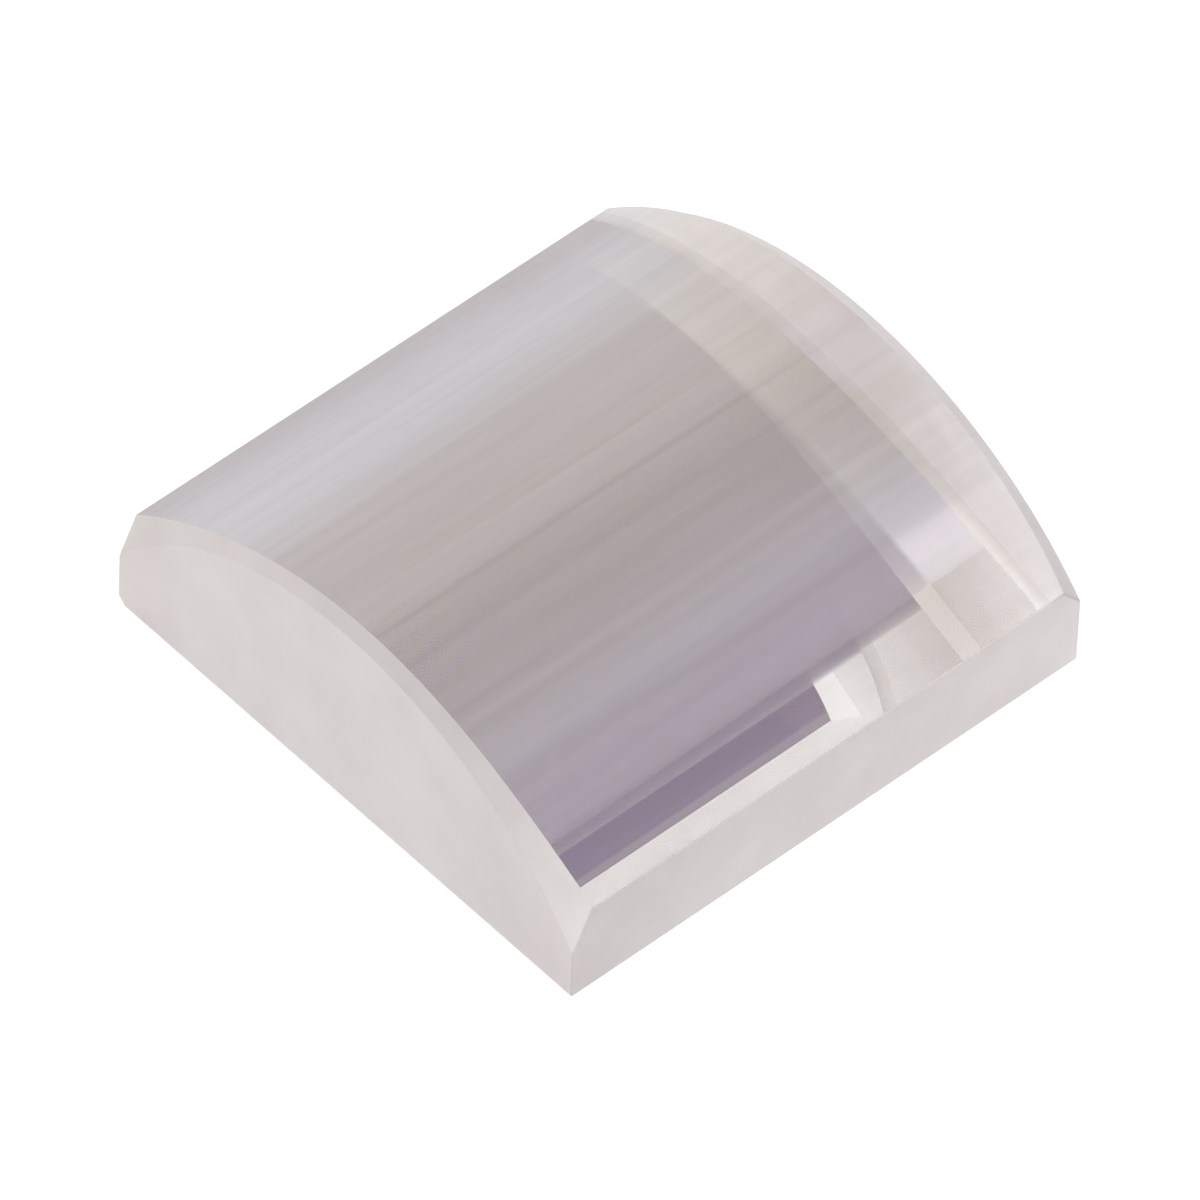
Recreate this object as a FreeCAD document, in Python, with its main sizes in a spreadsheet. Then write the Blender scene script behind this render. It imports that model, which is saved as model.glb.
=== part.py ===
"""Plano-convex acylindrical lens: one ground and polished block of optical glass.

The convex face curves across the width only, along a conic arc, and runs straight along the length.
The plane face is the one the lens rests on. The two ends and the two long sides are fine ground.
Each end carries a ground conical bevel along the curved edge, and the plane face has a narrow bevel all round.

Millimetres. X runs across the curve, Y along the straight generators, Z along the optical axis.
The origin is the middle of the plane face, with the convex face towards +Z.
"""
import FreeCAD, Part
import math
import os

import Sketcher

# Driving dimensions, each with the cell alias that the features are bound to
SIZES = {
    "length": 25.0,             # along the generators, end face to end face
    "width": 25.0,              # across the curve, side face to side face
    "centre_thickness": 9.95,   # plane face to the crown of the convex face
    "vertex_radius": 16.05,     # radius of curvature at the crown
    "conic": -0.555,            # conic constant: 0 is a circle, between -1 and 0 a tall ellipse
    "near_bevel_crown": 0.55,   # depth of the near end's bevel under the crown
    "near_bevel_corner": 1.85,  # its depth at the side faces
    "near_bevel_shift": -0.15,  # how far off the middle it was ground
    "near_bevel_angle": 53.0,   # its slope against the generators, in degrees
    "far_bevel_crown": 0.56,    # the same four for the far end
    "far_bevel_corner": 1.1,
    "far_bevel_shift": 0.05,
    "far_bevel_angle": 38.5,
    "end_foot_bevel": 0.45,     # bevel between the plane face and each end
    "left_foot_bevel": 0.8,     # bevel between the plane face and the left side, at -X
    "right_foot_bevel": 0.45,   # the same for the right side
}

NODE = "lens"
NEAR = -1
FAR = 1
HALF_TURN = 180
TOLERANCE = 1e-4

# How far the convex face has dropped where it meets a side face, as the sheet works it out
HALF_WIDTH = "(Sizes.width / 2)"
EDGE_SAG = (
    f"({HALF_WIDTH}^2 / (Sizes.vertex_radius"
    f" * (1 + sqrt(1 - (1 + Sizes.conic) * ({HALF_WIDTH} / Sizes.vertex_radius)^2))))"
)


def edge_sag(sheet):
    """Return the same drop in millimetres, to draw the first outline close to its place."""
    half = sheet.width / 2
    root = math.sqrt(1 - (1 + sheet.conic) * (half / sheet.vertex_radius) ** 2)
    return half**2 / (sheet.vertex_radius * (1 + root))


def add_sheet(doc):
    """Put every driving dimension in a spreadsheet cell with an alias."""
    sheet = doc.addObject("Spreadsheet::Sheet", "Sizes")
    for row, (name, value) in enumerate(SIZES.items(), start=1):
        sheet.set(f"A{row}", name)
        sheet.set(f"B{row}", str(value))
        sheet.setAlias(f"B{row}", name)
    doc.recompute()
    return sheet


def add_sketch(body, name, role):
    """Add a sketch that lies on one of the body's own origin planes."""
    sketch = body.newObject("Sketcher::SketchObject", name)
    plane = next(item for item in body.Origin.OriginFeatures if item.Role == role)
    sketch.AttachmentSupport = [(plane, "")]
    sketch.MapMode = "FlatFace"
    return sketch


def constrain(sketch, *terms):
    """Add one geometric constraint."""
    return sketch.addConstraint(Sketcher.Constraint(*terms))


def measure(sketch, expression, *terms):
    """Add one dimension and drive it from the sheet."""
    sketch.setExpression(f"Constraints[{constrain(sketch, *terms)}]", expression)


def join(sketch, lines):
    """Close a ring of lines and arcs end to end."""
    for line, following in zip(lines, lines[1:] + lines[:1]):
        constrain(sketch, "Coincident", line, 2, following, 1)


def add_section(body, sheet):
    """Draw the blank's section: the plane face, the two sides and the conic arc over them.

    With a conic constant between -1 and 0 the arc is the end of an ellipse that stands on the optical axis.
    """
    sketch = add_sketch(body, "Section", "XZ_Plane")
    half = sheet.width / 2
    edge = sheet.centre_thickness - edge_sag(sheet)
    tall = sheet.vertex_radius / (1 + sheet.conic)
    wide = sheet.vertex_radius / math.sqrt(1 + sheet.conic)
    crown = FreeCAD.Vector(0, sheet.centre_thickness, 0)
    centre = FreeCAD.Vector(0, sheet.centre_thickness - tall, 0)
    flank = FreeCAD.Vector(wide, centre.y, 0)
    swing = math.asin(half / wide)
    foot_left = FreeCAD.Vector(-half, 0, 0)
    foot_right = FreeCAD.Vector(half, 0, 0)
    edge_left = FreeCAD.Vector(-half, edge, 0)
    edge_right = FreeCAD.Vector(half, edge, 0)
    plane_face = sketch.addGeometry(Part.LineSegment(foot_left, foot_right))
    right_side = sketch.addGeometry(Part.LineSegment(foot_right, edge_right))
    convex = sketch.addGeometry(Part.ArcOfEllipse(Part.Ellipse(crown, flank, centre), -swing, swing))
    left_side = sketch.addGeometry(Part.LineSegment(edge_left, foot_left))
    join(sketch, [plane_face, right_side, convex, left_side])
    constrain(sketch, "Horizontal", plane_face)
    constrain(sketch, "Vertical", right_side)
    constrain(sketch, "Vertical", left_side)
    constrain(sketch, "Symmetric", plane_face, 1, plane_face, 2, -1, 1)
    measure(sketch, "Sizes.width", "DistanceX", plane_face, 1, plane_face, 2, sheet.width)
    sketch.exposeInternalGeometry(convex)
    tall_axis = left_side + 1
    wide_axis = left_side + 2
    constrain(sketch, "Vertical", tall_axis)
    constrain(sketch, "PointOnObject", convex, 3, -2)
    measure(sketch, "2 * Sizes.vertex_radius / (1 + Sizes.conic)", "Distance", tall_axis, 2 * tall)
    measure(sketch, "2 * Sizes.vertex_radius / sqrt(1 + Sizes.conic)", "Distance", wide_axis, 2 * wide)
    measure(sketch, "Sizes.centre_thickness - Sizes.vertex_radius / (1 + Sizes.conic)",
            "DistanceY", -1, 1, convex, 3, centre.y)
    return sketch


def add_blank(body, section):
    """Run the section along the generators, half to each side of the origin."""
    blank = body.newObject("PartDesign::Pad", "Blank")
    blank.Profile = section
    blank.SideType = "Symmetric"
    blank.setExpression("Length", "Sizes.length")
    return blank


def add_wheel(body, sheet, name, side):
    """Draw the grinding wheel's profile at one end, and the axis it turns about.

    The wheel cuts a cone that meets the end face in a circle. The circle lies under the convex face by one
    depth at the crown and by another at the sides, which sets its radius, so the bevel widens to the corners.
    The wheel overlaps the glass by both depths together, which is more than it has to cut anywhere.
    """
    cell = f"Sizes.{name}_bevel_"
    crown = getattr(sheet, f"{name}_bevel_crown")
    corner = getattr(sheet, f"{name}_bevel_corner")
    slope = math.radians(getattr(sheet, f"{name}_bevel_angle"))
    fall = edge_sag(sheet) + corner - crown
    radius = ((sheet.width / 2) ** 2 + fall**2) / (2 * fall)
    sketch = add_sketch(body, f"{name.capitalize()}Wheel", "YZ_Plane")
    sketch.setExpression(".AttachmentOffset.Base.z", cell + "shift")
    end = side * sheet.length / 2
    foot = sheet.centre_thickness - crown
    reach = crown + corner
    outside = FreeCAD.Vector(end + side * reach, foot - reach * math.tan(slope), 0)
    inside = FreeCAD.Vector(end - side * reach / math.tan(slope), foot + reach, 0)
    above = FreeCAD.Vector(outside.x, inside.y, 0)
    cone = sketch.addGeometry(Part.LineSegment(outside, inside))
    top = sketch.addGeometry(Part.LineSegment(inside, above))
    back = sketch.addGeometry(Part.LineSegment(above, outside))
    crossing = sketch.addGeometry(Part.Point(FreeCAD.Vector(end, foot, 0)), True)
    axis_height = foot - radius
    axis = sketch.addGeometry(Part.LineSegment(
        FreeCAD.Vector(0, axis_height, 0), FreeCAD.Vector(end, axis_height, 0)), True)
    join(sketch, [cone, top, back])
    constrain(sketch, "Horizontal", top)
    constrain(sketch, "Vertical", back)
    constrain(sketch, "PointOnObject", crossing, 1, cone)
    constrain(sketch, "Horizontal", axis)
    constrain(sketch, "PointOnObject", axis, 1, -2)
    constrain(sketch, "Vertical", axis, 2, crossing, 1)
    measure(sketch, f"{side} * Sizes.length / 2", "DistanceX", -1, 1, crossing, 1, end)
    measure(sketch, f"Sizes.centre_thickness - {cell}crown", "DistanceY", -1, 1, crossing, 1, foot)
    turn = f"{cell}angle * 1 deg" if side == NEAR else f"({HALF_TURN} - {cell}angle) * 1 deg"
    measure(sketch, turn, "Angle", cone, slope if side == NEAR else math.pi - slope)
    overlap = f"({cell}crown + {cell}corner)"
    measure(sketch, overlap, "DistanceY", crossing, 1, cone, 2, reach)
    measure(sketch, f"{side} * {overlap}", "DistanceX", crossing, 1, cone, 1, side * reach)
    drop = f"({EDGE_SAG} + {cell}corner - {cell}crown)"
    measure(sketch, f"({HALF_WIDTH}^2 + {drop}^2) / (2 * {drop})", "DistanceY", axis, 2, crossing, 1, radius)
    return sketch


def add_end_bevel(body, sheet, name, side):
    """Turn the wheel's profile over the curved edge of one end and take it from the glass."""
    sketch = add_wheel(body, sheet, name, side)
    bevel = body.newObject("PartDesign::Groove", f"{name.capitalize()}Bevel")
    bevel.Profile = sketch
    bevel.ReferenceAxis = (sketch, ["Axis0"])
    bevel.Midplane = True
    bevel.Angle = HALF_TURN
    return bevel


def foot_edges(shape, axis, places):
    """Name the edges of the plane face that lie at these places on one axis."""
    names = []
    for number, edge in enumerate(shape.Edges, start=1):
        middle = edge.CenterOfMass
        gap = min(abs(getattr(middle, axis) - place) for place in places)
        if middle.z < TOLERANCE and gap < TOLERANCE:
            names.append(f"Edge{number}")
    return names


def add_foot_bevel(body, name, axis, places, cell):
    """Bevel the edges of the plane face that lie at these places on one axis."""
    base = body.Tip
    bevel = body.newObject("PartDesign::Chamfer", name)
    bevel.Base = (base, foot_edges(base.Shape, axis, places))
    bevel.setExpression("Size", cell)
    return bevel


def check(doc, body, volumes):
    """Stop if a feature failed, took nothing away or left no solid."""
    for item in doc.Objects:
        if {"Invalid", "Error"} & set(item.State):
            raise RuntimeError(f"{item.Label} failed: {item.State}")
    if any(after >= before for before, after in zip(volumes, volumes[1:])):
        raise RuntimeError(f"a cut took nothing away: {volumes}")
    if body.Shape.isNull() or not body.Shape.isValid() or len(body.Shape.Solids) != 1:
        raise RuntimeError(f"{body.Label} is not one sound solid")


def main():
    """Build the lens, test it and write its file."""
    doc = FreeCAD.newDocument("acylindrical_lens")
    sheet = add_sheet(doc)
    body = doc.addObject("PartDesign::Body", "Lens")
    body.Label = NODE
    add_blank(body, add_section(body, sheet))
    doc.recompute()
    volumes = [body.Shape.Volume]
    end = sheet.length / 2
    side = sheet.width / 2
    steps = (
        (add_end_bevel, (body, sheet, "near", NEAR)),
        (add_end_bevel, (body, sheet, "far", FAR)),
        (add_foot_bevel, (body, "EndFootBevels", "y", (-end, end), "Sizes.end_foot_bevel")),
        (add_foot_bevel, (body, "LeftFootBevel", "x", (-side,), "Sizes.left_foot_bevel")),
        (add_foot_bevel, (body, "RightFootBevel", "x", (side,), "Sizes.right_foot_bevel")),
    )
    for add_step, terms in steps:
        add_step(*terms)
        doc.recompute()
        volumes.append(body.Shape.Volume)
    check(doc, body, volumes)
    os.makedirs("parts", exist_ok=True)
    body.Shape.exportStep(f"parts/{NODE}.step")
    print("volume after each step, cubic mm:", [round(volume, 2) for volume in volumes])
    print("edge thickness, mm:", round(sheet.centre_thickness - edge_sag(sheet), 3))


main()
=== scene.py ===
"""Square plano-convex acylindrical lens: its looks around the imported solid.

The lens is one block of optical glass. The convex face and the plane face are polished, and the
convex one carries an anti-reflection film. The ends, the sides and the bevels are fine ground, so they
look pale both from outside and through the glass.

Metres. X runs across the curve, Y along the straight generators, Z along the optical axis.
The origin is the middle of the plane face, with the convex face towards +Z.
"""

import logging
import math
from dataclasses import dataclass
from enum import Enum, IntEnum

import bmesh
import bpy
from bmesh.types import BMEdge, BMesh
from bpy.types import Material, Node, NodeTree, Object
from mathutils import Matrix, Vector


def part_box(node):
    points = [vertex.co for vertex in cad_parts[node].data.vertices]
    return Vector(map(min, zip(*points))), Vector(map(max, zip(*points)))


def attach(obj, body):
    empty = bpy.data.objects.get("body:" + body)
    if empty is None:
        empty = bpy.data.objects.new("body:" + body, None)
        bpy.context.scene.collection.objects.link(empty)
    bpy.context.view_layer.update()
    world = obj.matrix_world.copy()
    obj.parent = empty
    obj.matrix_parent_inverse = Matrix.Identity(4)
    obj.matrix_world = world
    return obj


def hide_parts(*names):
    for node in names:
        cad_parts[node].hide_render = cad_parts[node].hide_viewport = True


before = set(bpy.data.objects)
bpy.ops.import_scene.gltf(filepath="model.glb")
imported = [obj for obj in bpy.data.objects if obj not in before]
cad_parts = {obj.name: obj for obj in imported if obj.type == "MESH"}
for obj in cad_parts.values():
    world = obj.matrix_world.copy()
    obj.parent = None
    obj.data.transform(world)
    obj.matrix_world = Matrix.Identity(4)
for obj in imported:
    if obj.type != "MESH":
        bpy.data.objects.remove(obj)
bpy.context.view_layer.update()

LOG = logging.getLogger("acylindrical_lens")
NODE = "lens"
BODY = "root"

Colour = tuple[float, float, float, float]
Stops = tuple[tuple[float, Colour], ...]
WHITE: Colour = (1.0, 1.0, 1.0, 1.0)
GLASS_INDEX = 1.69
MILLIMETRE = 0.001


class Side(IntEnum):
    """End of the lens along the generators, and the sign of its Y."""

    NEAR = -1
    FAR = 1


class Surface(Enum):
    """Kinds of face on the block, in the order of its material slots."""

    CONVEX = 0
    PLANE = 1
    GROUND = 2


@dataclass(frozen=True)
class Tint:
    """A colour in a node tree: the node that gives it, and the number of its output."""

    node: Node
    output: int


class Nodes:
    """Short way to build one material's or the world's node tree.

    The colour mix has several sockets of each name, so its colour sockets go by number.
    """

    MIX_SHARE = 0
    MIX_FIRST = 6
    MIX_SECOND = 7
    MIX_RESULT = 2

    def __init__(self, tree: NodeTree) -> None:
        """Start from an empty tree.

        Args:
            tree: The tree to fill.
        """
        self.tree = tree
        tree.nodes.clear()

    def add(self, kind: str, **values: object) -> Node:
        """Add a node and set its sockets and properties.

        Args:
            kind: Blender's name of the node type.
            **values: Socket values by socket name with underscores for spaces, or node properties.

        Returns:
            The new node.
        """
        node = self.tree.nodes.new(kind)
        for name, value in values.items():
            socket = node.inputs.get(name.replace("_", " "))
            if socket is None:
                setattr(node, name, value)
            else:
                socket.default_value = value
        return node

    def link(self, source: Node, output: str | int, target: Node, socket: str | int) -> None:
        """Join one node's output to another's input."""
        self.tree.links.new(source.outputs[output], target.inputs[socket])

    def ramp(self, stops: Stops) -> Node:
        """Add a colour ramp.

        Args:
            stops: Position and colour of each stop, in rising order.

        Returns:
            The ramp node.
        """
        node = self.tree.nodes.new("ShaderNodeValToRGB")
        elements = node.color_ramp.elements
        while len(elements) < len(stops):
            elements.new(1.0)
        for element, (position, colour) in zip(elements, stops):
            element.position = position
            element.color = colour
        return node

    def object_noise(self, stretch: Vector, scale: float, detail: float) -> Node:
        """Add a noise that follows the piece's own coordinates.

        Args:
            stretch: Scale along each axis.
            scale: Noise scale per metre.
            detail: Octaves of the noise.

        Returns:
            The noise node.
        """
        place = self.add("ShaderNodeTexCoord")
        mapping = self.add("ShaderNodeMapping", Scale=stretch)
        noise = self.add("ShaderNodeTexNoise", Scale=scale, Detail=detail)
        self.link(place, "Object", mapping, "Vector")
        self.link(mapping, "Vector", noise, "Vector")
        return noise

    def object_range(self, axis: str, low: float, high: float, reading: str = "Object") -> Node:
        """Bring one of the piece's own coordinates to the range from 0 to 1, and hold it there.

        Args:
            axis: X, Y or Z.
            low: Value that gives 0.
            high: Value that gives 1.
            reading: Object for the place, or Normal for the way the surface faces.

        Returns:
            The range node.
        """
        place = self.add("ShaderNodeTexCoord")
        parts = self.add("ShaderNodeSeparateXYZ")
        span = self.add("ShaderNodeMapRange", From_Min=low, From_Max=high)
        self.link(place, reading, parts, "Vector")
        self.link(parts, axis, span, "Value")
        return span

    def multiply(self, tint: Tint, ramp: Node) -> Tint:
        """Multiply a colour by a ramp's.

        Args:
            tint: The colour.
            ramp: The ramp.

        Returns:
            The product, which takes effect in full until a share is linked to its mix node.
        """
        mix = self.add("ShaderNodeMix", data_type="RGBA", blend_type="MULTIPLY")
        mix.inputs[self.MIX_SHARE].default_value = 1.0
        self.link(tint.node, tint.output, mix, self.MIX_FIRST)
        self.link(ramp, "Color", mix, self.MIX_SECOND)
        return Tint(mix, self.MIX_RESULT)

    def all_of(self, first: Node, *others: Node) -> Node:
        """Multiply shares, so that the result is 1 only where they all are.

        Args:
            first: Node whose first output is a share.
            *others: More such nodes.

        Returns:
            The node whose first output is the product.
        """
        share = first
        for other in others:
            product = self.add("ShaderNodeMath", operation="MULTIPLY")
            self.link(share, 0, product, 0)
            self.link(other, 0, product, 1)
            share = product
        return share


def new_material(name: str) -> tuple[Material, Nodes]:
    """Make an empty node material.

    Args:
        name: The material's name.

    Returns:
        The material and its node builder.
    """
    material = bpy.data.materials.new(name)
    material.use_nodes = True
    return material, Nodes(material.node_tree)


@dataclass(frozen=True)
class ReflectionStreak:
    """Painted reflection: a faint line along the generators, softly lighter or darker than the face beside
    it.
    """

    place: float
    half_width: float
    lightness: float

    def stops(self) -> tuple[tuple[float, float], ...]:
        """Return the X and lightness at the line's two borders and its middle."""
        return ((self.place - self.half_width, 1.0), (self.place, self.lightness),
                (self.place + self.half_width, 1.0))


@dataclass(frozen=True)
class ConvexFinish:
    """Polished convex face under its anti-reflection film.

    Faint random lines of tone run along the generators. On top of them lie painted reflections, lines along
    the generators lighter or darker than the face, and the edge shade, painted shade that dims the face
    towards its left edge.
    Reach is half the lens's width.
    """

    reach: float
    name: str = "polished_convex_coated"
    clear: Colour = (0.940, 0.930, 0.945, 1.0)
    streaked: Colour = (0.875, 0.860, 0.855, 1.0)
    film_thickness: float = 110.0
    film_index: float = 1.38
    streaks_per_metre: float = 2600.0
    streak_stretch: float = 0.03
    streak_detail: float = 3.0
    streaked_below: float = 0.35
    clear_above: float = 0.62
    edge_shade: Stops = (
        (-12.5 * MILLIMETRE, (0.82, 0.84, 0.97, 1.0)),
        (-10.0 * MILLIMETRE, (0.89, 0.91, 0.97, 1.0)),
        (-8.4 * MILLIMETRE, (1.00, 1.00, 1.00, 1.0)),
    )
    # Painted reflections of the surroundings, as faint lines along the generators.
    reflection_streaks: tuple[ReflectionStreak, ...] = (
        ReflectionStreak(-5.0 * MILLIMETRE, 0.28 * MILLIMETRE, 1.04),
        ReflectionStreak(-4.56 * MILLIMETRE, 0.15 * MILLIMETRE, 0.955),
        ReflectionStreak(-3.5 * MILLIMETRE, 0.30 * MILLIMETRE, 0.955),
        ReflectionStreak(0.98 * MILLIMETRE, 0.20 * MILLIMETRE, 0.86),
        ReflectionStreak(2.64 * MILLIMETRE, 0.28 * MILLIMETRE, 0.89),
        ReflectionStreak(5.04 * MILLIMETRE, 0.15 * MILLIMETRE, 0.96),
        ReflectionStreak(5.56 * MILLIMETRE, 0.30 * MILLIMETRE, 1.11),
        ReflectionStreak(6.65 * MILLIMETRE, 0.35 * MILLIMETRE, 0.955),
        ReflectionStreak(8.16 * MILLIMETRE, 0.38 * MILLIMETRE, 0.90),
    )

    def across(self) -> Stops:
        """List the edge shade and the painted reflections as ramp stops from one side face to the other.

        Returns:
            Position and colour of each stop, in rising order.
        """
        lines = [(x, (light, light, light, 1.0))
                 for streak in self.reflection_streaks for x, light in streak.stops()]
        stops = (*self.edge_shade, *lines)
        return tuple(((x + self.reach) / (2 * self.reach), colour) for x, colour in stops)

    def material(self) -> Material:
        """Build the film-coated glass.

        Returns:
            The material.
        """
        material, nodes = new_material(self.name)
        stretch = Vector((1.0, self.streak_stretch, 1.0))
        noise = nodes.object_noise(stretch, self.streaks_per_metre, self.streak_detail)
        fine = nodes.ramp(((self.streaked_below, self.streaked), (self.clear_above, self.clear)))
        lines = nodes.ramp(self.across())
        place = nodes.object_range("X", -self.reach, self.reach)
        tint = nodes.multiply(Tint(fine, 0), lines)
        glass = nodes.add("ShaderNodeBsdfPrincipled", Roughness=0.0, IOR=GLASS_INDEX,
                          Transmission_Weight=1.0, Thin_Film_Thickness=self.film_thickness,
                          Thin_Film_IOR=self.film_index)
        output = nodes.add("ShaderNodeOutputMaterial")
        nodes.link(noise, "Fac", fine, "Fac")
        nodes.link(place, "Result", lines, "Fac")
        nodes.link(tint.node, tint.output, glass, "Base Color")
        nodes.link(glass, "BSDF", output, "Surface")
        return material


@dataclass(frozen=True)
class PlaneFinish:
    """Polished plane face, tinted by the slant at which it is met.

    Real glass hardly does this. The tint is painted shade and light: it stands for the shadow under the
    lens and the dim surroundings seen through the glass, so its stops are fitted to the tones across the
    main area and are no property of the glass.
    """

    name: str = "polished_plane"
    facing_blend: float = 0.5
    # Painted shade seen through the glass, set by the slant at which the plane face is met.
    shade_by_slant: Stops = (
        (0.0360, (0.913, 0.953, 1.000, 1.0)),
        (0.0385, (0.815, 0.836, 0.863, 1.0)),
        (0.0415, (0.751, 0.722, 0.738, 1.0)),
        (0.0475, (0.619, 0.577, 0.544, 1.0)),
        (0.0620, (0.578, 0.527, 0.482, 1.0)),
        (0.0790, (0.499, 0.454, 0.370, 1.0)),
        (0.0880, (0.412, 0.371, 0.286, 1.0)),
        (0.0980, (0.359, 0.319, 0.237, 1.0)),
        (0.1100, (0.358, 0.309, 0.241, 1.0)),
        (0.1190, (0.374, 0.317, 0.301, 1.0)),
        (0.1420, (0.385, 0.348, 0.335, 1.0)),
        (0.1530, (0.426, 0.389, 0.432, 1.0)),
        (0.1660, (0.371, 0.327, 0.393, 1.0)),
        (0.1780, (0.376, 0.318, 0.401, 1.0)),
        (0.1900, (0.474, 0.410, 0.511, 1.0)),
        (0.2300, (0.980, 0.970, 0.980, 1.0)),
    )

    def material(self) -> Material:
        """Build the uncoated glass.

        Returns:
            The material.
        """
        material, nodes = new_material(self.name)
        facing = nodes.add("ShaderNodeLayerWeight", Blend=self.facing_blend)
        ramp = nodes.ramp(self.shade_by_slant)
        glass = nodes.add("ShaderNodeBsdfPrincipled", Roughness=0.0, IOR=GLASS_INDEX,
                          Transmission_Weight=1.0)
        output = nodes.add("ShaderNodeOutputMaterial")
        nodes.link(facing, "Facing", ramp, "Fac")
        nodes.link(ramp, "Color", glass, "Base Color")
        nodes.link(glass, "BSDF", output, "Surface")
        return material


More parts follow.
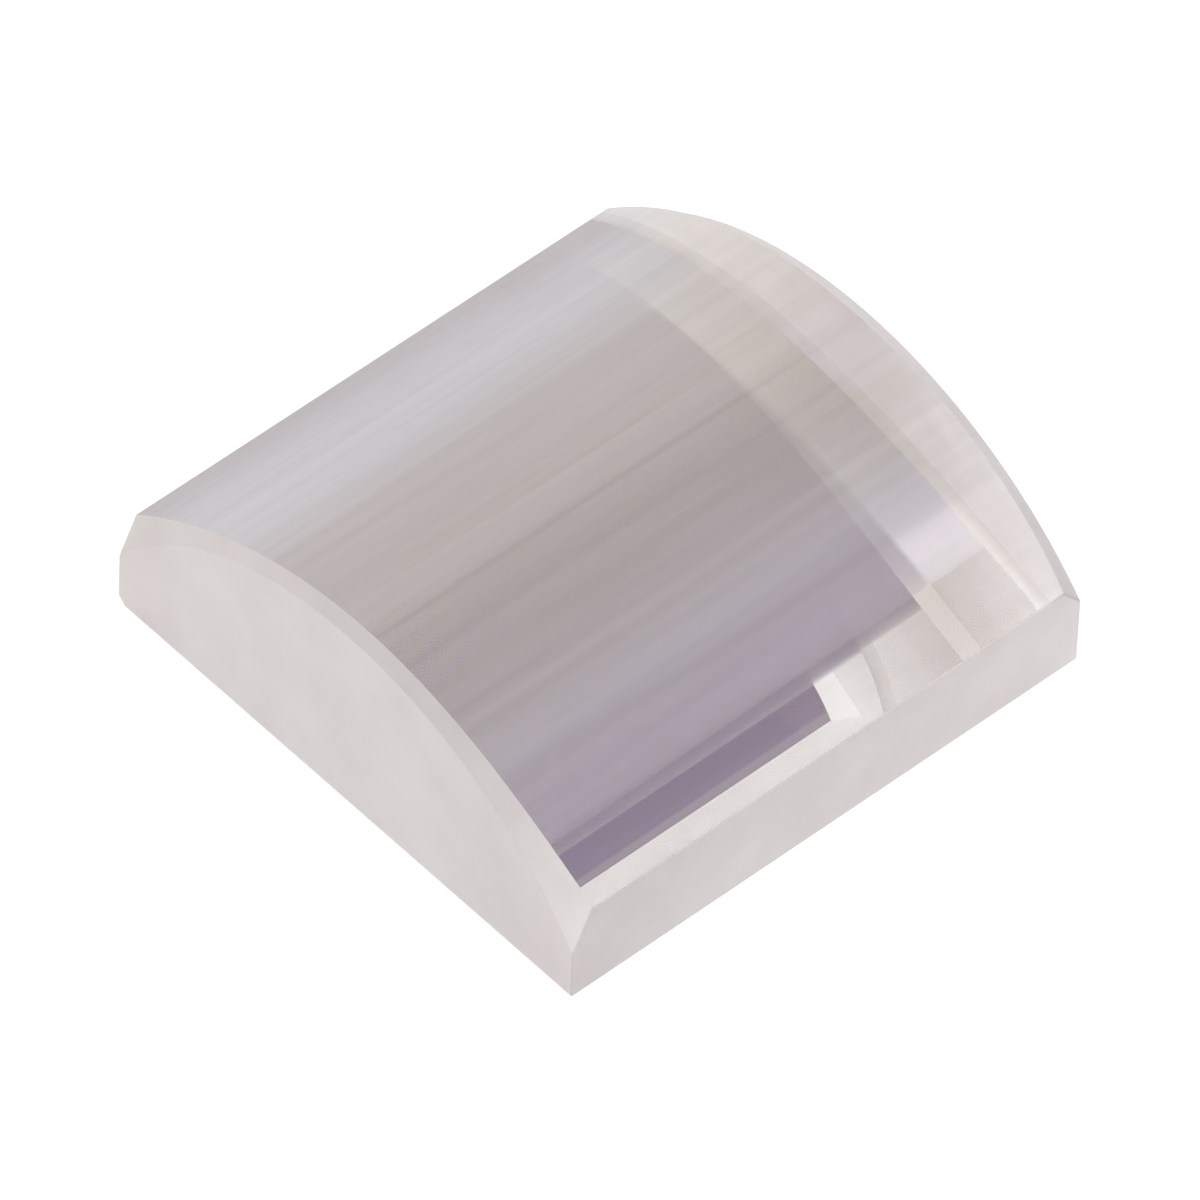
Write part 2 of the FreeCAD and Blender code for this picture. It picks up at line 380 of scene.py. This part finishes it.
@dataclass(frozen=True)
class GroundFinish:
    """Fine-ground glass: pale, satin and slightly cloudy, with a grain finer than the eye resolves.

    The light differs from face to face, and again where a face is seen from inside through the polished
    glass. Each shade paints one such change of light into the colour, fitted to the tones of its face, and
    the inner painted light does the same for all faces seen from inside. The side shade runs along Y, the
    ridge shade up Z and the others across X. Reach, end and ridge are the lens's half width, half length
    and side faces' top.
    """

    reach: float
    end: float
    ridge: float
    name: str = "fine_ground_glass"
    pale: Colour = (0.965, 0.93, 0.925, 1.0)
    cloudy: Colour = (0.905, 0.865, 0.857, 1.0)
    roughness: float = 0.55
    passing: float = 0.57
    clouds_per_metre: float = 420.0
    cloud_detail: float = 5.0
    cloudy_below: float = 0.3
    pale_above: float = 0.7
    grains_per_metre: float = 16000.0
    grain_detail: float = 2.0
    grain_strength: float = 0.25
    grain_height: float = 0.00001
    side_depth: float = 0.1 * MILLIMETRE
    front_depth: float = 0.02 * MILLIMETRE
    end_depth: float = 1.6 * MILLIMETRE
    bevel_from: float = 0.2
    bevel_full: float = 0.3
    end_shade: Stops = (
        (0.12, (1.00, 1.00, 1.00, 1.0)),
        (0.34, (0.82, 0.80, 0.785, 1.0)),
        (0.46, (0.76, 0.725, 0.70, 1.0)),
        (0.56, (0.76, 0.725, 0.70, 1.0)),
        (0.75, (0.95, 0.94, 0.935, 1.0)),
        (0.92, (1.00, 1.00, 1.00, 1.0)),
    )
    # Painted light and shade on the faces seen from inside through the glass, lighter towards +X.
    inner_painted_light: Stops = (
        (0.00, (0.965, 0.970, 0.945, 1.0)),
        (1.00, (1.010, 1.030, 1.015, 1.0)),
    )
    far_bevel_shade: Stops = (
        (0.30, (0.88, 0.87, 0.88, 1.0)),
        (1.00, (0.71, 0.695, 0.715, 1.0)),
    )
    ridge_shade: Stops = (
        (0.35, (1.00, 1.00, 1.00, 1.0)),
        (1.00, (0.92, 0.92, 0.915, 1.0)),
    )
    side_shade: Stops = (
        (0.00, (0.84, 0.83, 0.85, 1.0)),
        (0.10, (0.90, 0.89, 0.90, 1.0)),
        (0.26, (0.98, 0.985, 1.00, 1.0)),
        (0.50, (1.035, 1.04, 1.045, 1.0)),
        (0.78, (1.035, 1.05, 1.06, 1.0)),
        (0.92, (0.97, 0.97, 0.985, 1.0)),
        (1.00, (0.95, 0.95, 0.965, 1.0)),
    )
    front_shade: Stops = (
        (0.00, (0.91, 0.905, 0.905, 1.0)),
        (0.08, (0.97, 0.965, 0.965, 1.0)),
        (0.18, (1.02, 1.02, 1.02, 1.0)),
        (0.38, (1.035, 1.035, 1.035, 1.0)),
        (0.58, (1.01, 1.01, 1.01, 1.0)),
        (0.76, (0.975, 0.97, 0.975, 1.0)),
        (1.00, (0.93, 0.925, 0.925, 1.0)),
    )
    near_bevel_shade: Stops = (
        (0.00, (0.88, 0.875, 0.86, 1.0)),
        (0.28, (0.87, 0.86, 0.85, 1.0)),
        (0.48, (0.77, 0.76, 0.77, 1.0)),
        (0.68, (0.77, 0.76, 0.77, 1.0)),
        (0.86, (0.87, 0.86, 0.86, 1.0)),
        (1.00, (1.03, 1.04, 1.04, 1.0)),
    )

    def shade(self, nodes: Nodes, tint: Tint, stops: Stops, span: tuple[str, float, float],
              share: Node) -> Tint:
        """Paint a little shade or light into a part's colour, as less or more light reaches it.

        Args:
            nodes: The material's node builder.
            tint: The colour so far.
            stops: Shade across the part.
            span: Axis along which the shade changes, with its two ends.
            share: Node whose first output is 1 where the shade lies and 0 elsewhere.

        Returns:
            The shaded colour.
        """
        across = nodes.object_range(*span)
        shade = nodes.ramp(stops)
        shade.color_ramp.interpolation = "B_SPLINE"
        shaded = nodes.multiply(tint, shade)
        nodes.link(across, "Result", shade, "Fac")
        nodes.link(share, 0, shaded.node, nodes.MIX_SHARE)
        return shaded

    def colour(self, nodes: Nodes) -> Tint:
        """Build the cloudy colour with its painted shades on the ends, the sides and the bevels, and the
        painted light on faces seen from inside.

        Args:
            nodes: The material's node builder.

        Returns:
            The colour.
        """
        even = Vector((1.0, 1.0, 1.0))
        clouds = nodes.object_noise(even, self.clouds_per_metre, self.cloud_detail)
        ramp = nodes.ramp(((self.cloudy_below, self.cloudy), (self.pale_above, self.pale)))
        nodes.link(clouds, "Fac", ramp, "Fac")
        facing = nodes.add("ShaderNodeNewGeometry")
        within = nodes.add("ShaderNodeMapRange")
        without = nodes.add("ShaderNodeMapRange", To_Min=1.0, To_Max=0.0)
        nodes.link(facing, "Backfacing", within, "Value")
        nodes.link(facing, "Backfacing", without, "Value")
        far = nodes.object_range("Y", self.end - self.end_depth, self.end - self.end_depth / 2)
        side = nodes.object_range("X", self.reach - self.side_depth, self.reach - self.side_depth / 2)
        front = nodes.object_range("Y", self.front_depth - self.end, -self.end)
        nearer = nodes.object_range("Y", 0.0, -self.end / 2)
        upward = nodes.object_range("Z", self.bevel_from, self.bevel_full, "Normal")
        right_side = nodes.all_of(side, without)
        across = ("X", -self.reach, self.reach)
        along = ("Y", -self.end, self.end)
        up = ("Z", 0.0, self.ridge)
        tint = Tint(ramp, 0)
        for stops, span, share in (
                (self.inner_painted_light, across, within),
                (self.end_shade, across, nodes.all_of(far, within)),
                (self.far_bevel_shade, across, nodes.all_of(far, without, upward)),
                (self.ridge_shade, up, right_side),
                (self.side_shade, along, right_side),
                (self.front_shade, across, nodes.all_of(front, without)),
                (self.near_bevel_shade, across, nodes.all_of(nearer, without, upward))):
            tint = self.shade(nodes, tint, stops, span, share)
        return tint

    def material(self) -> Material:
        """Build the satin surface.

        Returns:
            The material.
        """
        material, nodes = new_material(self.name)
        tint = self.colour(nodes)
        even = Vector((1.0, 1.0, 1.0))
        grain = nodes.object_noise(even, self.grains_per_metre, self.grain_detail)
        bump = nodes.add("ShaderNodeBump", Strength=self.grain_strength, Distance=self.grain_height)
        glass = nodes.add("ShaderNodeBsdfPrincipled", Roughness=self.roughness, IOR=GLASS_INDEX)
        scatter = nodes.add("ShaderNodeBsdfTranslucent")
        satin = nodes.add("ShaderNodeMixShader", Fac=self.passing)
        output = nodes.add("ShaderNodeOutputMaterial")
        nodes.link(tint.node, tint.output, glass, "Base Color")
        nodes.link(grain, "Fac", bump, "Height")
        nodes.link(bump, "Normal", glass, "Normal")
        nodes.link(tint.node, tint.output, scatter, "Color")
        nodes.link(glass, "BSDF", satin, 1)
        nodes.link(scatter, "BSDF", satin, 2)
        nodes.link(satin, "Shader", output, "Surface")
        return material


@dataclass(frozen=True)
class EndBevel:
    """Conical bevel ground along the curved edge of one end.

    The cone's axis runs along Y, and angle is its slope from it. It meets the end face in a circle that
    lies under the convex face by one depth at the crown and by another at the side faces.
    """

    side: Side
    crown: float
    corner: float
    shift: float
    angle: float


@dataclass(frozen=True)
class Wheel:
    """Place and slope of the cone that an end bevel follows."""

    side: Side
    radius: float
    axis_x: float
    axis_z: float
    slope: float
    end: float

    def foot_height(self, x: float) -> float:
        """Height at which the cone meets the end face."""
        return self.axis_z + math.sqrt(self.radius**2 - (x - self.axis_x) ** 2)

    def run(self, x: float, z: float) -> float:
        """Y at which the cone passes through this X and Z."""
        depth = math.hypot(x - self.axis_x, z - self.axis_z) - self.radius
        return self.side * (self.end - depth / self.slope)


@dataclass
class LensBlock:
    """The one piece: a square block under a conic cylinder, with bevelled ends and plane face.

    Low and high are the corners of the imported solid's box.
    """

    low: Vector
    high: Vector
    vertex_radius: float = 16.05 * MILLIMETRE
    conic: float = -0.555
    near: EndBevel = EndBevel(Side.NEAR, 0.55 * MILLIMETRE, 1.85 * MILLIMETRE, -0.15 * MILLIMETRE, 53.0)
    far: EndBevel = EndBevel(Side.FAR, 0.56 * MILLIMETRE, 1.1 * MILLIMETRE, 0.05 * MILLIMETRE, 38.5)
    end_foot_bevel: float = 0.45 * MILLIMETRE
    left_foot_bevel: float = 0.8 * MILLIMETRE
    right_foot_bevel: float = 0.45 * MILLIMETRE
    columns: int = 240
    rings: int = 2
    level_face: float = 0.5
    sharp_angle: float = 12.0
    break_angle: float = 25.0
    edge_break: float = 0.04 * MILLIMETRE
    tolerance: float = 1e-7

    @property
    def half_width(self) -> float:
        """Half the size across the curve."""
        return (self.high.x - self.low.x) / 2

    @property
    def half_length(self) -> float:
        """Half the size along the generators."""
        return (self.high.y - self.low.y) / 2

    def sag(self, x: float) -> float:
        """Return how far the convex face has dropped below the crown at this X."""
        root = math.sqrt(1 - (1 + self.conic) * (x / self.vertex_radius) ** 2)
        return x**2 / (self.vertex_radius * (1 + root))

    def wheel(self, bevel: EndBevel) -> Wheel:
        """Work out the cone of one end bevel.

        Args:
            bevel: The bevel's depths, shift and slope.

        Returns:
            The cone that passes through them.
        """
        fall = self.sag(self.half_width) + bevel.corner - bevel.crown
        radius = (self.half_width**2 + fall**2) / (2 * fall)
        return Wheel(bevel.side, radius, bevel.shift, self.high.z - bevel.crown - radius,
                     math.tan(math.radians(bevel.angle)), self.half_length)

    def start_block(self, mesh: BMesh) -> None:
        """Make the square block and divide it into columns, and its top into bevel rings.

        Args:
            mesh: The empty mesh to fill.
        """
        bmesh.ops.create_cube(mesh, size=1.0)
        size = self.high - self.low
        bmesh.ops.scale(mesh, vec=size, verts=mesh.verts)
        bmesh.ops.translate(mesh, vec=(self.low + self.high) / 2, verts=mesh.verts)
        across = [edge for edge in mesh.edges if self.spans(edge, "x")]
        bmesh.ops.subdivide_edges(mesh, edges=across, cuts=self.columns - 1, use_grid_fill=True)
        along = [edge for edge in mesh.edges
                 if self.spans(edge, "y") and edge.verts[0].co.z > self.high.z / 2]
        bmesh.ops.subdivide_edges(mesh, edges=along, cuts=2 * self.rings, use_grid_fill=True)

    def spans(self, edge: BMEdge, axis: str) -> bool:
        """Tell whether an edge of the square block runs along this axis."""
        return abs(getattr(edge.verts[0].co, axis) - getattr(edge.verts[1].co, axis)) > self.tolerance

    def name_surfaces(self, mesh: BMesh) -> None:
        """Give every face its kind of surface, while the block is still square.

        Args:
            mesh: The divided block.
        """
        strip = self.half_length / (2 * self.rings + 1)
        for face in mesh.faces:
            middle = face.calc_center_median()
            if face.normal.z > self.level_face and abs(middle.y) < strip:
                face.material_index = Surface.CONVEX.value
            elif face.normal.z < -self.level_face:
                face.material_index = Surface.PLANE.value
            else:
                face.material_index = Surface.GROUND.value

    def shape_top(self, mesh: BMesh) -> None:
        """Bring the top's grid onto the conic face and the two cones.

        Args:
            mesh: The divided block.
        """
        wheels = {Side.NEAR: self.wheel(self.near), Side.FAR: self.wheel(self.far)}
        spacing = 2 * self.half_length / (2 * self.rings + 1)
        for vert in mesh.verts:
            if vert.co.z < self.high.z / 2:
                continue
            side = Side.NEAR if vert.co.y < 0 else Side.FAR
            wheel = wheels[side]
            ring = round((self.half_length - abs(vert.co.y)) / spacing)
            x = vert.co.x
            foot = wheel.foot_height(x)
            z = foot + (self.high.z - self.sag(x) - foot) * ring / self.rings
            vert.co = Vector((x, wheel.run(x, z), z))

    def cut_foot(self, mesh: BMesh, outward: Vector, reach: float, depth: float) -> None:
        """Bevel one edge of the plane face at 45 degrees.

        Args:
            mesh: The block.
            outward: Direction from the middle to the edge.
            reach: Distance from the middle to the edge.
            depth: Size of the bevel on both faces.
        """
        parts = mesh.verts[:] + mesh.edges[:] + mesh.faces[:]
        place = outward * (reach - depth) + Vector((0, 0, self.low.z))
        facing = (outward + Vector((0, 0, -1))).normalized()
        cut = bmesh.ops.bisect_plane(mesh, geom=parts, dist=self.tolerance, plane_co=place,
                                     plane_no=facing, clear_outer=True)
        rim = [part for part in cut["geom_cut"] if isinstance(part, BMEdge)]
        filled = bmesh.ops.edgeloop_fill(mesh, edges=rim)
        for face in filled["faces"]:
            face.material_index = Surface.GROUND.value

    def cut_feet(self, mesh: BMesh) -> None:
        """Bevel the plane face all round.

        Args:
            mesh: The block with its top in shape.
        """
        for side in Side:
            self.cut_foot(mesh, Vector((0, side, 0)), self.half_length, self.end_foot_bevel)
        self.cut_foot(mesh, Vector((-1, 0, 0)), self.half_width, self.left_foot_bevel)
        self.cut_foot(mesh, Vector((1, 0, 0)), self.half_width, self.right_foot_bevel)

    def soften(self, mesh: BMesh) -> None:
        """Break the side faces' upper edges and corners with a chamfer too narrow to measure.

        Args:
            mesh: The block with all its faces in place.
        """
        level = self.low.z + self.left_foot_bevel + self.edge_break
        border = self.half_width - self.tolerance
        upper = [edge for edge in mesh.edges
                 if all(vert.co.z > level and abs(vert.co.x) > border for vert in edge.verts)
                 and edge.calc_face_angle(0.0) > math.radians(self.break_angle)]
        bmesh.ops.bevel(mesh, geom=upper, offset=self.edge_break, offset_type="OFFSET",
                        affect="EDGES", segments=1, profile=0.5, material=Surface.GROUND.value,
                        clamp_overlap=False)

    def smooth(self, mesh: BMesh) -> None:
        """Smooth the curved faces and keep the edges between surfaces sharp.

        Args:
            mesh: The finished block.
        """
        bmesh.ops.recalc_face_normals(mesh, faces=mesh.faces)
        for face in mesh.faces:
            face.smooth = True
        for edge in mesh.edges:
            edge.smooth = edge.calc_face_angle(0.0) < math.radians(self.sharp_angle)

    def build(self, finishes: tuple[Material, ...]) -> Object:
        """Build the block and dress it.

        Args:
            finishes: One material for each kind of surface, in order.

        Returns:
            The lens.
        """
        mesh = bmesh.new()
        self.start_block(mesh)
        self.name_surfaces(mesh)
        self.shape_top(mesh)
        self.cut_feet(mesh)
        self.soften(mesh)
        self.smooth(mesh)
        data = bpy.data.meshes.new("lens_glass")
        mesh.to_mesh(data)
        mesh.free()
        for finish in finishes:
            data.materials.append(finish)
        lens = bpy.data.objects.new("lens_glass", data)
        bpy.context.scene.collection.objects.link(lens)
        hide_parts(NODE)
        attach(lens, BODY)
        LOG.info("lens block: %d faces", len(data.polygons))
        return lens


@dataclass
class Studio:
    """Plain white floor and surround with one broad soft lamp.

    The polished glass alone shows a dim ceiling, lilac near the horizon and purple higher up. The dark band
    along the right edge is a picture of it. Through the glass the floor glows, and a patch of light lies on
    it under the far right edge.
    """

    floor_size: float = 3.0
    floor_gap: float = 0.00002
    floor_colour: Colour = (0.485, 0.475, 0.48, 1.0)
    floor_glow: Colour = (0.36, 0.355, 0.355, 1.0)
    shadow_share: float = 0.12
    shadow_base: float = 0.94
    floor_glow_outside: float = 0.4
    patch_glow: Colour = (0.650, 0.695, 0.622, 1.0)
    patch_reach: float = 12.5 * MILLIMETRE
    patch_start: float = 9.0 * MILLIMETRE
    patch_end: float = 13.0 * MILLIMETRE
    patch_across: Stops = (
        (0.22, (0.00, 0.00, 0.00, 1.0)),
        (0.27, (0.16, 0.16, 0.16, 1.0)),
        (0.59, (0.20, 0.20, 0.20, 1.0)),
        (0.63, (0.38, 0.38, 0.38, 1.0)),
        (0.67, (1.00, 1.00, 1.00, 1.0)),
        (0.98, (1.00, 1.00, 1.00, 1.0)),
        (1.00, (0.00, 0.00, 0.00, 1.0)),
    )
    patch_along: Stops = (
        (0.05, (0.00, 0.00, 0.00, 1.0)),
        (0.12, (1.00, 1.00, 1.00, 1.0)),
        (0.82, (1.00, 1.00, 1.00, 1.0)),
        (0.90, (0.00, 0.00, 0.00, 1.0)),
    )
    horizon: float = 0.98
    zenith: float = 1.30
    scattered_from: float = 0.5
    ceiling: Stops = (
        (0.00, (0.375, 0.315, 0.360, 1.0)),
        (0.24, (0.310, 0.258, 0.305, 1.0)),
        (0.60, (0.440, 0.375, 0.385, 1.0)),
        (0.679, (0.435, 0.370, 0.380, 1.0)),
        (0.687, (0.340, 0.277, 0.318, 1.0)),
        (0.77, (0.320, 0.260, 0.312, 1.0)),
    )
    lamp_size: float = 0.5
    lamp_power: float = 2.0
    lamp_place: Vector = Vector((-0.30, 0.25, 0.75))

    def floor_light(self, nodes: Nodes, path: Node) -> Node:
        """Build the floor's own light: an even glow and the patch.

        Args:
            nodes: The floor material's node builder.
            path: The light path node.

        Returns:
            The node whose first output is the light.
        """
        inside = nodes.add("ShaderNodeMapRange", To_Min=self.floor_glow_outside, To_Max=1.0)
        glow = nodes.add("ShaderNodeEmission", Color=self.floor_glow)
        across = nodes.object_range("X", -self.patch_reach, self.patch_reach)
        along = nodes.object_range("Y", self.patch_start, self.patch_end)
        patch_x = nodes.ramp(self.patch_across)
        patch_y = nodes.ramp(self.patch_along)
        patch = nodes.multiply(Tint(patch_x, 0), patch_y)
        patch_strength = nodes.add("ShaderNodeMath", operation="MULTIPLY")
        patch_light = nodes.add("ShaderNodeEmission", Color=self.patch_glow)
        light = nodes.add("ShaderNodeAddShader")
        nodes.link(path, "Is Transmission Ray", inside, "Value")
        nodes.link(inside, "Result", glow, "Strength")
        nodes.link(across, "Result", patch_x, "Fac")
        nodes.link(along, "Result", patch_y, "Fac")
        nodes.link(patch.node, patch.output, patch_strength, 0)
        nodes.link(inside, "Result", patch_strength, 1)
        nodes.link(patch_strength, "Value", patch_light, "Strength")
        nodes.link(glow, "Emission", light, 0)
        nodes.link(patch_light, "Emission", light, 1)
        return light

    def floor_material(self) -> Material:
        """Build the floor: white to the camera but for a faint shadow, and pale through the glass.

        Returns:
            The material.
        """
        material, nodes = new_material("studio_floor")
        path = nodes.add("ShaderNodeLightPath")
        lit = nodes.add("ShaderNodeBsdfDiffuse", Color=self.floor_colour)
        light = self.floor_light(nodes, path)
        plain = nodes.add("ShaderNodeAddShader")
        faint = nodes.add("ShaderNodeBsdfDiffuse", Color=(self.shadow_share,) * 3 + (1.0,))
        white = nodes.add("ShaderNodeEmission", Strength=self.shadow_base)
        shown = nodes.add("ShaderNodeAddShader")
        choice = nodes.add("ShaderNodeMixShader")
        output = nodes.add("ShaderNodeOutputMaterial")
        nodes.link(lit, "BSDF", plain, 0)
        nodes.link(light, "Shader", plain, 1)
        nodes.link(faint, "BSDF", shown, 0)
        nodes.link(white, "Emission", shown, 1)
        nodes.link(path, "Is Camera Ray", choice, 0)
        nodes.link(plain, "Shader", choice, 1)
        nodes.link(shown, "Shader", choice, 2)
        nodes.link(choice, "Shader", output, "Surface")
        return material

    def floor(self) -> Object:
        """Build the floor just under the plane face.

        Returns:
            The floor.
        """
        mesh = bmesh.new()
        bmesh.ops.create_grid(mesh, x_segments=1, y_segments=1, size=self.floor_size / 2)
        bmesh.ops.translate(mesh, vec=(0.0, 0.0, -self.floor_gap), verts=mesh.verts)
        data = bpy.data.meshes.new("floor")
        mesh.to_mesh(data)
        mesh.free()
        data.materials.append(self.floor_material())
        floor = bpy.data.objects.new("floor", data)
        bpy.context.scene.collection.objects.link(floor)
        return floor

    def world(self) -> None:
        """Surround the lens with soft light, white to the camera.

        Light that has passed only polished glass comes from the dim ceiling instead.
        """
        world = bpy.data.worlds.new("studio")
        world.use_nodes = True
        bpy.context.scene.world = world
        nodes = Nodes(world.node_tree)
        path = nodes.add("ShaderNodeLightPath")
        light = nodes.add("ShaderNodeBackground", Color=WHITE)
        rise = nodes.add("ShaderNodeMapRange", To_Min=self.horizon, To_Max=self.zenith)
        dim = nodes.add("ShaderNodeBackground", Strength=1.0)
        place = nodes.add("ShaderNodeTexCoord")
        parts = nodes.add("ShaderNodeSeparateXYZ")
        height = nodes.ramp(self.ceiling)
        polished = nodes.add("ShaderNodeMath", operation="MULTIPLY")
        unscattered = nodes.add("ShaderNodeMath", operation="LESS_THAN")
        unscattered.inputs[1].default_value = self.scattered_from
        white = nodes.add("ShaderNodeBackground", Color=WHITE, Strength=1.0)
        through = nodes.add("ShaderNodeMixShader")
        shown = nodes.add("ShaderNodeMixShader")
        output = nodes.add("ShaderNodeOutputWorld")
        nodes.link(place, "Generated", parts, "Vector")
        nodes.link(parts, "Z", height, "Fac")
        nodes.link(parts, "Z", rise, "Value")
        nodes.link(rise, "Result", light, "Strength")
        nodes.link(height, "Color", dim, "Color")
        nodes.link(path, "Is Transmission Ray", polished, 0)
        nodes.link(path, "Is Singular Ray", polished, 1)
        nodes.link(path, "Diffuse Depth", unscattered, 0)
        nodes.link(nodes.all_of(polished, unscattered), "Value", through, 0)
        nodes.link(light, "Background", through, 1)
        nodes.link(dim, "Background", through, 2)
        nodes.link(path, "Is Camera Ray", shown, 0)
        nodes.link(through, "Shader", shown, 1)
        nodes.link(white, "Background", shown, 2)
        nodes.link(shown, "Shader", output, "Surface")

    def lamp(self) -> None:
        """Hang the soft lamp and aim it at the lens."""
        data = bpy.data.lights.new("soft_lamp", "AREA")
        data.shape = "SQUARE"
        data.size = self.lamp_size
        data.energy = self.lamp_power
        lamp = bpy.data.objects.new("soft_lamp", data)
        bpy.context.scene.collection.objects.link(lamp)
        aim = self.lamp_place.to_track_quat("Z", "Y").to_matrix().to_4x4()
        lamp.matrix_world = Matrix.Translation(self.lamp_place) @ aim
        lamp.visible_transmission = False

    def build(self) -> None:
        """Set up the floor, the surround and the lamp."""
        self.floor()
        self.world()
        self.lamp()
        LOG.info("studio: floor, surround and one soft lamp")


@dataclass
class PhotoCamera:
    """Camera at the photograph's viewing angle, for a square picture."""

    azimuth: float = 45.9877
    elevation: float = 49.1119
    roll: float = 2.7062
    aim: Vector = Vector((1.0653, -0.9608, 3.7586)) * MILLIMETRE
    distance: float = 851.082 * MILLIMETRE
    focal_length: float = 695.745
    sensor: float = 36.0

    def build(self) -> Object:
        """Place the camera and make it the scene's.

        Returns:
            The camera.
        """
        turn = math.radians(self.azimuth)
        tilt = math.radians(self.elevation)
        back = Vector((math.sin(turn) * math.cos(tilt), -math.cos(turn) * math.cos(tilt),
                       math.sin(tilt)))
        level = Vector((math.cos(turn), math.sin(turn), 0.0))
        right = Matrix.Rotation(math.radians(self.roll), 3, back) @ level
        axes = Matrix((right, back.cross(right), back)).transposed()
        data = bpy.data.cameras.new("photo_camera")
        data.lens = self.focal_length
        data.sensor_width = self.sensor
        data.clip_start = self.distance / 100
        data.clip_end = self.distance * 100
        camera = bpy.data.objects.new("photo_camera", data)
        bpy.context.scene.collection.objects.link(camera)
        camera.matrix_world = Matrix.Translation(self.aim + back * self.distance) @ axes.to_4x4()
        bpy.context.scene.camera = camera
        LOG.info("camera: %.1f degrees round, %.1f up", self.azimuth, self.elevation)
        return camera


def main() -> None:
    """Build the camera, the lens and the studio."""
    logging.basicConfig(level=logging.INFO, format="%(name)s: %(message)s")
    bpy.context.scene.view_settings.view_transform = "Standard"
    PhotoCamera().build()
    low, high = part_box(NODE)
    lens = LensBlock(low, high)
    ground = GroundFinish(lens.half_width, lens.half_length, high.z - lens.sag(lens.half_width))
    lens.build((ConvexFinish(lens.half_width).material(), PlaneFinish().material(), ground.material()))
    Studio().build()


if __name__ == "__main__":
    main()
